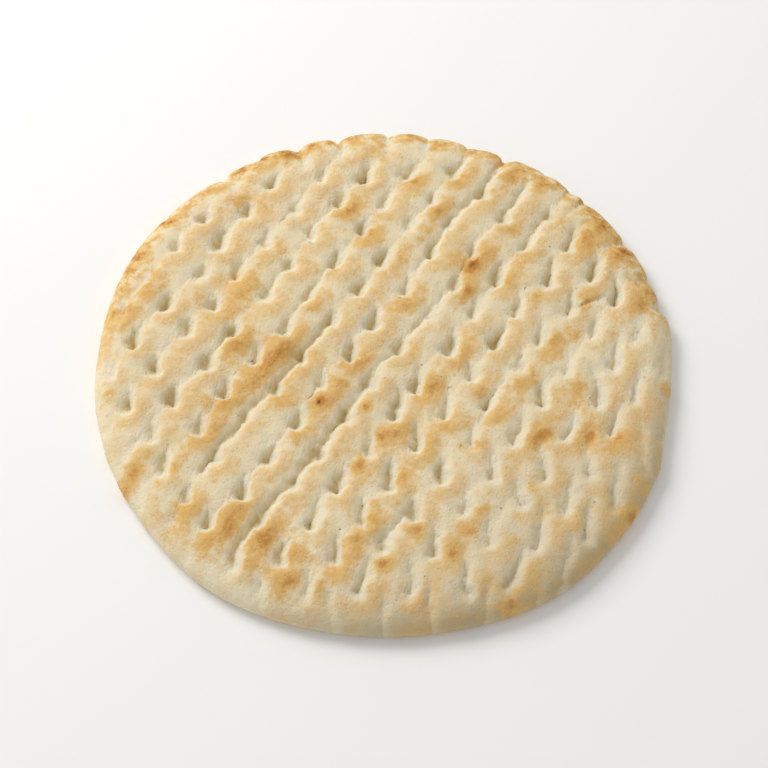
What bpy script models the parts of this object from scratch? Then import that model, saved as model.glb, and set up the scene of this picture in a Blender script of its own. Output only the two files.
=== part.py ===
"""Round pizza crust, 203 mm across, docked all over in leaning rows of slits.

One solid of baked dough. Metres, +Z up. The flat underside lies on z = 0 and the origin
is under the middle of the disc. The rows of docking marks run from front left to back right.
"""

import math
import random

import bmesh
import bpy
import numpy as np

# Driving dimensions of the disc
CRUST_RADIUS = 0.1015
CENTRE_HEIGHT = 0.0119      # pillow tops in the middle
SHOULDER_HEIGHT = 0.0112    # pillow tops where the edge starts to roll down
WAIST_HEIGHT = 0.0034       # the widest point of the edge
ROLL_WIDTH = 0.0160         # how far in from the outline the rolled edge reaches
UNDERCUT = 0.0030           # how far the flat underside stops short of the outline

# Bulges and flats of the hand-stretched outline: angle, rise (+) or dip (-), half width
OUTLINE_SHAPES = (
    (8, 0.0012, 6),
    (36, 0.0016, 24),
    (54, 0.0010, 6),
    (86, 0.0012, 14),
    (117, 0.0008, 6),
    (148, 0.0010, 15),
    (175, -0.0006, 8),
    (238, 0.0013, 13),
    (305, 0.0028, 17),
    (327, 0.0010, 8),
    (336, 0.0008, 3),
    (350, -0.0012, 8),
)

# Docking marks: slits on a skewed lattice of steps along a row and from row to row
DOCK_ORIGIN = np.array((-0.0034, -0.0077))
ALONG_ROW = 0.0165 * np.array((math.cos(math.radians(55.5)), math.sin(math.radians(55.5))))
ROW_TO_ROW = 0.0142 * np.array((math.cos(math.radians(122.7)), math.sin(math.radians(122.7))))
LATTICE_REACH = 8           # steps each way that cover the disc
MARK_LEAN = math.radians(78)
FRONT_LEAN = math.radians(11)   # the slits stand this much more upright at the front edge
MARK_HALF_LENGTH = 0.0040
MARK_DEPTH = 0.0045
UPPER_DEPTH = 0.35          # depth at the upper end of a slit, as a fraction of its lower end
MARK_REACH = (0.0088, 0.0052)   # how far the dough is drawn down: on its far side, on its near side
CORE_SHARE = 0.50           # on the far side this share of the depth is a steeper cut at the bottom,
CORE_REACH = 0.60           # which takes up this share of the reach
FAR_ANGLE = math.radians(140)   # the far side, where the slopes run long
SIDE_TURN = 0.7             # how gently one side's slope passes into the other's round an end
PLACE_SPREAD = 0.0008       # spread of the marks about the lattice
LEAN_SPREAD = math.radians(7)
SIZE_SPREAD = 0.16          # spread of length and depth, as a fraction
FIRM_STRETCH = 0.95         # slits are this much longer on the firm side,
SOFT_SHRINK = 0.35          # this much shorter opposite,
FIRM_NARROWING = 0.25       # and their hollows this much narrower, wider opposite

# Creases that join the slits of a row: row, first slit, last slit, depth as a fraction
CREASES = (
    (7, -3.0, -2.0, 0.3),
    (5, 1.0, 2.0, 0.4),
    (4, -3.0, -2.0, 0.8),
    (4, -1.0, 0.0, 0.8),
    (4, 1.0, 2.0, 0.5),
    (3, -4.0, -3.0, 0.4),
    (3, 1.0, 2.0, 0.4),
    (2, -4.5, 0.0, 1.0),
    (2, 1.0, 2.0, 0.4),
    (2, 3.0, 4.0, 0.6),
    (1, -5.0, -3.0, 0.4),
    (1, 3.0, 5.7, 0.9),
    (0, -5.5, -1.0, 1.1),
    (0, -1.0, 3.0, 0.7),
    (0, 3.0, 4.5, 0.4),
    (0, 5.0, 6.2, 0.9),
    (-1, 5.0, 6.0, 0.9),
    (-2, 2.0, 4.0, 0.4),
    (-3, -2.0, -1.0, 0.9),
    (-3, 1.0, 3.0, 0.6),
    (-4, 0.0, 1.0, 0.3),
    (-4, 3.0, 6.0, 0.4),
    (-5, 0.0, 1.0, 0.4),
)
CREASE_DEPTH = 0.0031
CREASE_REACH = (0.0090, 0.0040)
CREASE_HOLD = 0.55          # a slit on a crease is shorter by this share of the crease's strength
VALLEY_STRENGTH = (0.15, 0.55)  # a shallow valley joins the other slits of a row
VALLEY_REACH = (0.0075, 0.0055)
VALLEY_FADE = (0.1, 0.6)    # the valleys fade out between these places towards the firm side

# Notches of the back rim: angle in degrees, depth as a fraction
RIM_NOTCHES = (
    (20.0, 0.6),
    (30.5, 0.8),
    (42.5, 0.6),
    (54.0, 0.3),
    (63.5, 1.1),
    (71.5, 0.8),
    (80.5, 0.6),
    (89.0, 0.9),
    (100.0, 1.1),
    (109.5, 1.3),
    (127.0, 0.9),
    (142.0, 0.3),
)
NOTCH_DEPTH = 0.0026
NOTCH_REACH = 0.0062
NOTCH_SPAN = (0.88, 1.03)   # fractions of the radius
BACK_RIM_START = 0.90       # beyond this fraction of the radius the back has notches, not slits

# How the press fades where the dough is firmer
EDGE_FADE_START = 0.90      # fraction of the radius
EDGE_KEEP_FRONT = 0.05      # what is left of a mark at the front edge
EDGE_KEEP_BACK = 0.75       # and at the back edge, which the notches cut
BACK_ANGLE = math.radians(75)
FIRM_ANGLE = math.radians(-40)
FIRM_LOSS = 0.40            # marks are this much weaker on the firm side, front right
FOOT_FADE = 0.0015          # no mark reaches below this height

# Slow unevenness of the pillow tops
SWELL_HEIGHT = 0.00030
SWELL_WAVES = 5
SWELL_LENGTH = (0.055, 0.110)

# Mesh
GRID_CELLS = 64
GRID_TURN = math.radians(55.5)      # the mesh runs along the rows
LIP_ANGLE = math.radians(54)        # the grid ends here on the roll; 0 is its top, 90 the waist
RIM_TURNS = (72, 90, 132, 180)      # the rings below it, down to the foot
GATHER = 0.75                       # mesh points beside a slit are drawn this far towards it
GATHER_REACH = 0.0024
GATHER_END = (0.85, 0.97)           # none are drawn in beyond this share of the way out
SLIT_ROUNDING = 0.0004              # rounding of the bottom of a slit
BLEND_POWER = 3                     # how softly neighbouring marks merge
SEED = 11

# Lengths along the skin of the flat top and of the grid's part of the roll
FLAT_LENGTH = CRUST_RADIUS - ROLL_WIDTH
ROLL_RISE = SHOULDER_HEIGHT - WAIST_HEIGHT
LIP_LENGTH = 0.5 * (ROLL_WIDTH + ROLL_RISE) * LIP_ANGLE

CRUST_COLOUR = (0.68, 0.52, 0.30, 1.0)
CRUST_ROUGHNESS = 0.85


def smooth_step(low, high, value):
    """0 below low, 1 above high, smooth between."""
    part = np.clip((value - low) / (high - low), 0.0, 1.0)
    return part * part * (3.0 - 2.0 * part)


def outline_radius(angle):
    """Radius of the widest outline at an angle in radians."""
    degrees = np.degrees(angle)
    radius = np.full_like(degrees, CRUST_RADIUS)
    for centre, rise, half_width in OUTLINE_SHAPES:
        away = (degrees - centre + 180.0) % 360.0 - 180.0
        radius += rise * np.exp(-(away / half_width) ** 2)
    return radius


def firm_side(x, y):
    """1 at the firm side's edge, -1 at the opposite edge."""
    return (x * math.cos(FIRM_ANGLE) + y * math.sin(FIRM_ANGLE)) / CRUST_RADIUS


def crease_strength(step, row):
    """The strength of the crease that runs through a slit, or 0."""
    through = [strength for on_row, first, last, strength in CREASES
               if on_row == row and first <= step <= last]
    return min(1.0, max(through, default=0.0))


def docking_marks(rng):
    """Every slit by its lattice indices: middle, half-length vector, depth, reaches."""
    marks = {}
    for row in range(-LATTICE_REACH, LATTICE_REACH + 1):
        for step in range(-LATTICE_REACH, LATTICE_REACH + 1):
            middle = DOCK_ORIGIN + step * ALONG_ROW + row * ROW_TO_ROW
            middle = middle + PLACE_SPREAD * np.array((rng.gauss(0, 1), rng.gauss(0, 1)))
            lean = MARK_LEAN - FRONT_LEAN * middle[1] / CRUST_RADIUS + LEAN_SPREAD * rng.gauss(0, 1)
            firm = firm_side(*middle)
            stretch = FIRM_STRETCH if firm > 0.0 else SOFT_SHRINK
            size = 1.0 + SIZE_SPREAD * rng.uniform(-1, 1) + stretch * firm
            size *= 1.0 - CREASE_HOLD * crease_strength(step, row)
            half = MARK_HALF_LENGTH * size * np.array((math.cos(lean), math.sin(lean)))
            depth = MARK_DEPTH * (1.0 + SIZE_SPREAD * rng.gauss(0, 1))
            if np.hypot(*middle) < CRUST_RADIUS + MARK_HALF_LENGTH:
                narrowing = 1.0 - FIRM_NARROWING * firm
                reaches = [side * narrowing for side in MARK_REACH]
                marks[step, row] = (middle, half, depth, reaches)
    return marks


def is_back_rim(place):
    """Whether a place is on the notched part of the rim."""
    return np.hypot(*place) > BACK_RIM_START * CRUST_RADIUS and place[1] > 0.3 * CRUST_RADIUS


def slit_segments(marks):
    """One segment for each slit, deep at its lower end and shallow at its upper end."""
    segments = []
    for middle, half, depth, reaches in marks.values():
        if not is_back_rim(middle):
            segments.append((middle - half, middle + half, depth, depth * UPPER_DEPTH, reaches))
    return segments


def crease_segments(marks):
    """One segment for each stretch of crease, from the middle of a slit to that of the next."""
    segments = []
    for row, first, last, strength in CREASES:
        depth = CREASE_DEPTH * strength
        for step in range(math.floor(first), math.ceil(last)):
            if (step, row) not in marks or (step + 1, row) not in marks:
                continue
            start = marks[step, row][0]
            end = marks[step + 1, row][0]
            tail = min(1.0, last - step)
            head = max(0.0, first - step)
            segments.append((start + head * (end - start), start + tail * (end - start),
                             depth, depth, CREASE_REACH))
    return segments


def valley_segments(marks):
    """A shallow segment between neighbouring slits of a row that no crease joins."""
    rng = random.Random(SEED + 2)
    segments = []
    for step, row in sorted(marks):
        depth = CREASE_DEPTH * rng.uniform(*VALLEY_STRENGTH)
        depth *= 1.0 - smooth_step(*VALLEY_FADE, firm_side(*marks[step, row][0]))
        joined = any(crease == row and first < step + 1 and last > step
                     for crease, first, last, _ in CREASES)
        if (step + 1, row) in marks and not joined:
            segments.append((marks[step, row][0], marks[step + 1, row][0], depth, depth, VALLEY_REACH))
    return segments


def notch_segments():
    """One segment for each notch of the back rim, from the top outwards."""
    segments = []
    for angle, strength in RIM_NOTCHES:
        outward = np.array((math.cos(math.radians(angle)), math.sin(math.radians(angle))))
        inner, outer = [share * CRUST_RADIUS * outward for share in NOTCH_SPAN]
        depth = NOTCH_DEPTH * strength
        segments.append((inner, outer, 0.5 * depth, 1.5 * depth, (NOTCH_REACH, NOTCH_REACH)))
    return segments


def all_segments():
    """Every segment along which the dough is pressed in."""
    marks = docking_marks(random.Random(SEED))
    return slit_segments(marks) + crease_segments(marks) + valley_segments(marks) + notch_segments()


def press_strength(x, y):
    """How much of a mark's full depth the dough takes at a place."""
    radius = np.hypot(x, y)
    angle = np.arctan2(y, x)
    share = radius / outline_radius(angle)
    back = 0.5 + 0.5 * np.cos(angle - BACK_ANGLE)
    edge_keep = EDGE_KEEP_FRONT + (EDGE_KEEP_BACK - EDGE_KEEP_FRONT) * smooth_step(0.5, 0.85, back)
    edge = 1.0 - (1.0 - edge_keep) * smooth_step(EDGE_FADE_START, 1.0, share)
    return edge * (1.0 - FIRM_LOSS * smooth_step(0.1, 0.9, firm_side(x, y)))


def nearest_on(start, end, x, y):
    """For each place, how far along a segment its nearest point is, and the step to it."""
    run = end - start
    along = ((x - start[0]) * run[0] + (y - start[1]) * run[1]) / (run @ run)
    along = np.clip(along, 0.0, 1.0)
    return along, start[0] + along * run[0] - x, start[1] + along * run[1] - y


def far_share(step_x, step_y):
    """1 on the far side of a segment, 0 on its near side; the steps lead to the segment."""
    toward = -(step_x * math.cos(FAR_ANGLE) + step_y * math.sin(FAR_ANGLE))
    return smooth_step(-SIDE_TURN, SIDE_TURN, toward / (np.hypot(step_x, step_y) + 1e-9))


def press_depth(x, y, segments):
    """How far the marks draw the skin in at each place, before it fades at the foot."""
    total = np.zeros_like(x)
    for start, end, start_depth, end_depth, (far_reach, near_reach) in segments:
        along, step_x, step_y = nearest_on(start, end, x, y)
        side = far_share(step_x, step_y)
        away = np.sqrt(step_x ** 2 + step_y ** 2 + SLIT_ROUNDING ** 2) - SLIT_ROUNDING
        reach = near_reach + (far_reach - near_reach) * side
        broad = np.clip(1.0 - away / reach, 0.0, 1.0) ** 2
        core = np.clip(1.0 - away / (CORE_REACH * reach), 0.0, 1.0) ** 3
        cored = CORE_SHARE * side
        slope = (1.0 - cored) * broad + cored * core
        depth = (start_depth + (end_depth - start_depth) * along) * slope
        total += depth ** BLEND_POWER
    return total ** (1.0 / BLEND_POWER) * press_strength(x, y)


def swell(x, y):
    """Slow waves over the whole top."""
    rng = random.Random(SEED + 1)
    height = np.zeros_like(x)
    for _ in range(SWELL_WAVES):
        wave = 2.0 * math.pi / rng.uniform(*SWELL_LENGTH)
        heading = rng.uniform(0.0, math.pi)
        phase = rng.uniform(0.0, 2.0 * math.pi)
        height += np.cos(wave * (x * math.cos(heading) + y * math.sin(heading)) + phase)
    return SWELL_HEIGHT * height / math.sqrt(SWELL_WAVES)


def top_profile(share):
    """Inset, height and outward normal from the middle (0) to the grid's edge (1)."""
    travel = share * (FLAT_LENGTH + LIP_LENGTH)
    turn = np.clip((travel - FLAT_LENGTH) / LIP_LENGTH, 0.0, 1.0) * LIP_ANGLE
    centre = np.clip(travel / FLAT_LENGTH, 0.0, 1.0)
    roll_inset = ROLL_WIDTH * (1.0 - np.sin(turn))
    inset = np.where(travel < FLAT_LENGTH, CRUST_RADIUS - travel, roll_inset)
    crown = (CENTRE_HEIGHT - SHOULDER_HEIGHT) * (1.0 - centre ** 2)
    height = WAIST_HEIGHT + ROLL_RISE * np.cos(turn) + crown
    return inset, height, np.sin(turn), np.cos(turn)


def rim_profile(turn):
    """Inset, height and outward normal on the rolled edge, from the grid's edge to the foot."""
    if turn <= 0.5 * math.pi:
        inset = ROLL_WIDTH * (1.0 - math.sin(turn))
        height = WAIST_HEIGHT + ROLL_RISE * math.cos(turn)
    else:
        inset = UNDERCUT * (1.0 - math.sin(turn))
        height = WAIST_HEIGHT * (1.0 + math.cos(turn))
    return inset, height, math.sin(turn), math.cos(turn)


def pressed_points(angle, inset, height, outward, upward, segments):
    """Points on the skin: the plain profile, with the docking marks drawn in along its normal."""
    radius = outline_radius(angle) * (1.0 - inset / CRUST_RADIUS)
    x = radius * np.cos(angle)
    y = radius * np.sin(angle)
    fade = smooth_step(FOOT_FADE, WAIST_HEIGHT, height)
    depth = press_depth(x, y, segments) * fade
    level = height + swell(x, y) * fade * upward - depth * upward
    radius = radius - depth * outward
    return np.stack((radius * np.cos(angle), radius * np.sin(angle), level), axis=1)


def disc_places(flat):
    """Angle and share of the way out of each point of a square grid stretched to a disc."""
    u, v = flat[:, 0], flat[:, 1]
    x = u * np.sqrt(1.0 - v ** 2 / 2.0)
    y = v * np.sqrt(1.0 - u ** 2 / 2.0)
    return np.arctan2(y, x) + GRID_TURN, np.minimum(np.hypot(x, y), 1.0)


def gathered(angle, share, segments):
    """Draw places beside a slit towards it, so that its sharp bottom keeps its depth."""
    travel = share * (FLAT_LENGTH + LIP_LENGTH)
    radius = travel * outline_radius(angle) / CRUST_RADIUS
    x, y = radius * np.cos(angle), radius * np.sin(angle)
    steps = [nearest_on(start, end, x, y)[1:] for start, end, *_ in segments]
    step_x, step_y = np.array(steps).transpose(1, 0, 2)
    nearest = np.argmin(np.hypot(step_x, step_y), axis=0)
    step_x = np.take_along_axis(step_x, nearest[None], axis=0)[0]
    step_y = np.take_along_axis(step_y, nearest[None], axis=0)[0]
    pull = GATHER * np.exp(-(step_x ** 2 + step_y ** 2) / GATHER_REACH ** 2)
    pull *= 1.0 - smooth_step(*GATHER_END, share)
    x, y = x + pull * step_x, y + pull * step_y
    angle = np.arctan2(y, x)
    travel = np.hypot(x, y) * CRUST_RADIUS / outline_radius(angle)
    return angle, travel / (FLAT_LENGTH + LIP_LENGTH)


def place(verts, points):
    """Move vertices to their places on the skin."""
    for vert, point in zip(verts, points):
        vert.co = point


def shape_top(mesh, segments):
    """Turn a flat square grid, 2 across, into the top skin."""
    verts = list(mesh.verts)
    flat = np.array([vert.co[:] for vert in verts], dtype=float)
    angle, share = gathered(*disc_places(flat), segments)
    place(verts, pressed_points(angle, *top_profile(share), segments))


def add_rim(mesh, segments):
    """Draw the skin's border down and round to the foot, ring by ring."""
    for degrees in RIM_TURNS:
        border = [edge for edge in mesh.edges if edge.is_boundary]
        made = bmesh.ops.extrude_edge_only(mesh, edges=border)["geom"]
        ring = [item for item in made if isinstance(item, bmesh.types.BMVert)]
        angle = np.array([math.atan2(vert.co.y, vert.co.x) for vert in ring])
        levels = [np.full_like(angle, value) for value in rim_profile(math.radians(degrees))]
        place(ring, pressed_points(angle, *levels, segments))


def close_underside(mesh):
    """One flat face on z = 0 closes the foot."""
    border = [edge for edge in mesh.edges if edge.is_boundary]
    bmesh.ops.contextual_create(mesh, geom=border)


def dough_material():
    """Pale baked dough."""
    material = bpy.data.materials.new("baked_dough")
    material.use_nodes = True
    shader = material.node_tree.nodes["Principled BSDF"]
    shader.inputs["Base Color"].default_value = CRUST_COLOUR
    shader.inputs["Roughness"].default_value = CRUST_ROUGHNESS
    shader.inputs["Metallic"].default_value = 0.0
    material.diffuse_color = CRUST_COLOUR
    return material


def make_crust():
    """The whole crust as one closed, triangulated body."""
    segments = all_segments()
    mesh = bmesh.new()
    bmesh.ops.create_grid(mesh, x_segments=GRID_CELLS, y_segments=GRID_CELLS, size=1.0)
    shape_top(mesh, segments)
    add_rim(mesh, segments)
    close_underside(mesh)
    bmesh.ops.recalc_face_normals(mesh, faces=mesh.faces)
    bmesh.ops.triangulate(mesh, faces=mesh.faces, quad_method="BEAUTY", ngon_method="BEAUTY")
    data = bpy.data.meshes.new("crust")
    mesh.to_mesh(data)
    mesh.free()
    data.shade_smooth()
    data.materials.append(dough_material())
    return bpy.data.objects.new("crust", data)


def main():
    """Clear the scene and build the crust in a collection of its own."""
    for old in list(bpy.data.objects):
        bpy.data.objects.remove(old)
    collection = bpy.data.collections.new("pizza_crust")
    bpy.context.scene.collection.children.link(collection)
    collection.objects.link(make_crust())


main()
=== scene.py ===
"""Looks of the docked pizza crust: its full relief, its bake colours, flour and flakes."""

import math
import random

import bmesh
import bpy
from mathutils import Matrix, Vector, noise


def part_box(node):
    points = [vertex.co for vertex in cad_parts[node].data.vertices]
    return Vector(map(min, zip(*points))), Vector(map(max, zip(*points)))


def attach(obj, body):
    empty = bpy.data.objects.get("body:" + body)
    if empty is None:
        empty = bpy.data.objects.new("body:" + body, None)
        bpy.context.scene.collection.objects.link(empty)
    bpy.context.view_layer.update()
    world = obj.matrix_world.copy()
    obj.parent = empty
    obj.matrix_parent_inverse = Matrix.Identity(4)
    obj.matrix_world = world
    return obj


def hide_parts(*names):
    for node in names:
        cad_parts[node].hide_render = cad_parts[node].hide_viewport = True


bl_info = {
    "name": "Docked pizza crust",
    "version": (1, 0, 0),
    "blender": (4, 5, 0),
    "location": "View3D > Sidebar > Crust",
    "description": "Dresses the docked pizza crust and lights it",
    "category": "Object",
}

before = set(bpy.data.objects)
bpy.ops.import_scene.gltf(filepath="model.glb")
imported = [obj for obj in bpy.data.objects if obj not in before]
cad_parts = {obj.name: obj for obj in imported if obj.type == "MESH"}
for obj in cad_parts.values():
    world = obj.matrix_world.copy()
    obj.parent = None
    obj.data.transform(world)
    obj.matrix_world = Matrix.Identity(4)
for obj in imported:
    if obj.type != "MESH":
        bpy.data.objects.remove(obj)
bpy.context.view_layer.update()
LOW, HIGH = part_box("crust")
WIDTH = HIGH.x - LOW.x
THICKNESS = HIGH.z

# The disc, as shares of the solid's width and thickness
CRUST_RADIUS = 0.4991 * WIDTH
CENTRE_HEIGHT = 0.973 * THICKNESS       # pillow tops in the middle
SHOULDER_HEIGHT = 0.916 * THICKNESS     # pillow tops where the edge starts to roll down
WAIST_HEIGHT = 0.278 * THICKNESS        # the widest point of the edge
ROLL_WIDTH = 0.158 * CRUST_RADIUS       # how far in from the outline the rolled edge reaches
UNDERCUT = 0.030 * CRUST_RADIUS         # how far the flat underside stops short of the outline
QUARTER_TURN = 0.5 * math.pi
FLAT_LENGTH = CRUST_RADIUS - ROLL_WIDTH

# Bulges and flats of the hand-stretched outline: angle, rise (+) or dip (-), half width
OUTLINE_SHAPES = (
    (8, 0.0012, 6),
    (36, 0.0016, 24),
    (54, 0.0010, 6),
    (86, 0.0012, 14),
    (117, 0.0008, 6),
    (148, 0.0010, 15),
    (175, -0.0006, 8),
    (238, 0.0013, 13),
    (305, 0.0028, 17),
    (327, 0.0010, 8),
    (336, 0.0008, 3),
    (350, -0.0012, 8),
)

# Docking marks: slits on a skewed lattice of steps along a row and from row to row
ROW_ANGLE = math.radians(55.5)
DOCK_ORIGIN = Vector((-0.0034, -0.0077))
ALONG_ROW = 0.0165 * Vector((math.cos(ROW_ANGLE), math.sin(ROW_ANGLE)))
ROW_TO_ROW = 0.0142 * Vector((math.cos(math.radians(122.7)), math.sin(math.radians(122.7))))
LATTICE_REACH = 8
MARK_LEAN = math.radians(78)
FRONT_LEAN = math.radians(11)
MARK_HALF_LENGTH = 0.0040
MARK_DEPTH = 0.0045
MARK_REACH = (0.0088, 0.0052)   # how far its slopes run: on its upper left, on its lower right
CORE_SHARE = 0.50           # on the far side this share of the depth is a steeper cut at the bottom,
CORE_REACH = 0.60           # which takes up this share of the reach
FAR_ANGLE = math.radians(140)   # the side where the slopes run long
SIDE_TURN = 0.7             # how gently one side's slope passes into the other's round an end
PLACE_SPREAD = 0.0008
LEAN_SPREAD = math.radians(7)
SIZE_SPREAD = 0.16
FIRM_STRETCH = 0.95
SOFT_SHRINK = 0.35
FIRM_NARROWING = 0.25
UPPER_DEPTH = 0.35         # a slit's depth at its upper end, as a share of its full depth
SEED = 11

# Creases that join the slits of a row: row, first slit, last slit, depth as a fraction
CREASES = (
    (7, -3.0, -2.0, 0.3),
    (5, 1.0, 2.0, 0.4),
    (4, -3.0, -2.0, 0.8),
    (4, -1.0, 0.0, 0.8),
    (4, 1.0, 2.0, 0.5),
    (3, -4.0, -3.0, 0.4),
    (3, 1.0, 2.0, 0.4),
    (2, -4.5, 0.0, 1.0),
    (2, 1.0, 2.0, 0.4),
    (2, 3.0, 4.0, 0.6),
    (1, -5.0, -3.0, 0.4),
    (1, 3.0, 5.7, 0.9),
    (0, -5.5, -1.0, 1.1),
    (0, -1.0, 3.0, 0.7),
    (0, 3.0, 4.5, 0.4),
    (0, 5.0, 6.2, 0.9),
    (-1, 5.0, 6.0, 0.9),
    (-2, 2.0, 4.0, 0.4),
    (-3, -2.0, -1.0, 0.9),
    (-3, 1.0, 3.0, 0.6),
    (-4, 0.0, 1.0, 0.3),
    (-4, 3.0, 6.0, 0.4),
    (-5, 0.0, 1.0, 0.4),
)
CREASE_DEPTH = 0.0031
CREASE_REACH = (0.0090, 0.0040)
CREASE_HOLD = 0.55          # a slit on a crease is shorter by this share of the crease's strength
VALLEY_STRENGTH = (0.15, 0.55)  # a shallow valley joins the other slits of a row
VALLEY_REACH = (0.0075, 0.0055)
VALLEY_FADE = (0.1, 0.6)

# How the press fades where the dough is firmer
EDGE_FADE_START = 0.90
EDGE_KEEP_FRONT = 0.05
EDGE_KEEP_BACK = 0.75
BACK_ANGLE = math.radians(75)
FIRM_ANGLE = math.radians(-40)
FIRM_LOSS = 0.40
FOOT_FADE = 0.0015
SLIT_ROUNDING = 0.0004
BACK_RIM_START = 0.90       # beyond this share of the radius the back has notches, not slits

# Notches of the back rim: angle in degrees, depth as a fraction
RIM_NOTCHES = (
    (20.0, 0.6),
    (30.5, 0.8),
    (42.5, 0.6),
    (54.0, 0.3),
    (63.5, 1.1),
    (71.5, 0.8),
    (80.5, 0.6),
    (89.0, 0.9),
    (100.0, 1.1),
    (109.5, 1.3),
    (127.0, 0.9),
    (142.0, 0.3),
)
NOTCH_DEPTH = 0.0026
NOTCH_REACH = 0.0062
NOTCH_SPAN = (0.88, 1.03)
BLEND_POWER = 3

# Beside a mark, on its lower right: the wall that faces the light, which gets a painted highlight, and the
# lip that browns
LIT_SPAN = (0.0004, 0.0038)
LIP_RISE = (0.0010, 0.0045)
LIP_FALL = (0.0060, 0.0120)

# The slits wander and are uneven: noise scales as lumps in a metre, sizes in metres or as shares
NOISE_MIDDLE = (0.5, 0.5, 0.5)
WOBBLE_SCALE = 230.0
BEND_SCALE = 95.0
WANDER = 0.0036
UNEVEN_SCALE = 85.0
UNEVEN_DEPTH = 1.5
MEAN_DEPTH = 0.97

# Lumps, grain and stretch marks of the skin
LUMP_SCALE = 150.0
GRAIN_SCALE = 620.0
LUMP_HEIGHT = 0.0008
STRETCH_SCALES = (520.0, 95.0)      # across and along the lean of the slits
STRETCH_START = (0.0004, 0.0015)    # the depths between which stretch marks appear
MESH_CELLS = 290

# Slow unevenness of the pillow tops
SWELL_HEIGHT = 0.00030
SWELL_WAVES = 5
SWELL_LENGTH = (0.055, 0.110)

# Mesh points beside a slit are drawn in towards it, but not near the rim
GATHER = 0.75
GATHER_REACH = 0.0024
GATHER_END = (0.80, 0.90)

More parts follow.
